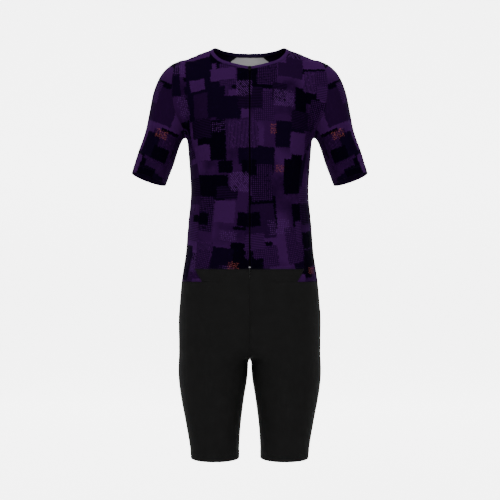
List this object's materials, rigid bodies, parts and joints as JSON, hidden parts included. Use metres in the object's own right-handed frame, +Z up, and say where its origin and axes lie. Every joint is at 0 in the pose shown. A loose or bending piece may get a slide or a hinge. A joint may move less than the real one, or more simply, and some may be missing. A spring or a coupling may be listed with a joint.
{
  "type": "triathlon suit",
  "caption": "Short-sleeved one-piece triathlon suit with a full front zip, bound round neck and knee-length legs, standing hollow as worn.",
  "frame": {"origin": "midway between the two points where the shoulder line meets the neck edge, where the wearer's shoulders carry the suit", "axes": "+Z up, the front faces -Y, +X towards the wearer's left"},
  "size_m": [0.5462, 0.2348, 0.963],
  "materials": {
    "printed_knit": "matt stretch knit with a purple and navy block print",
    "black_knit": "matt black stretch knit with a soft sheen",
    "binding": "folded purple knit tape",
    "zip_tape": "woven tape with a fine coil chain",
    "dark_hardware": "satin black",
    "zip_stop": "satin"
  },
  "bodies": {
    "suit": {"front_left": "printed_knit", "front_right": "printed_knit", "back": "printed_knit", "sleeve_left": "printed_knit", "sleeve_right": "printed_knit", "leg_left": "black_knit", "leg_right": "black_knit", "neck_binding": "binding", "zip": "zip_tape", "zip_slider": "dark_hardware", "zip_stop": "zip_stop"},
    "pull": {"zip_pull": "dark_hardware"}
  },
  "joints": [
    {"name": "pull_swing", "type": "hinge", "parent": "suit", "child": "pull", "pos_m": [0, -0.06807, -0.05655], "axis": [-1, 0, 0], "range_deg": [0, 150]}
  ]
}
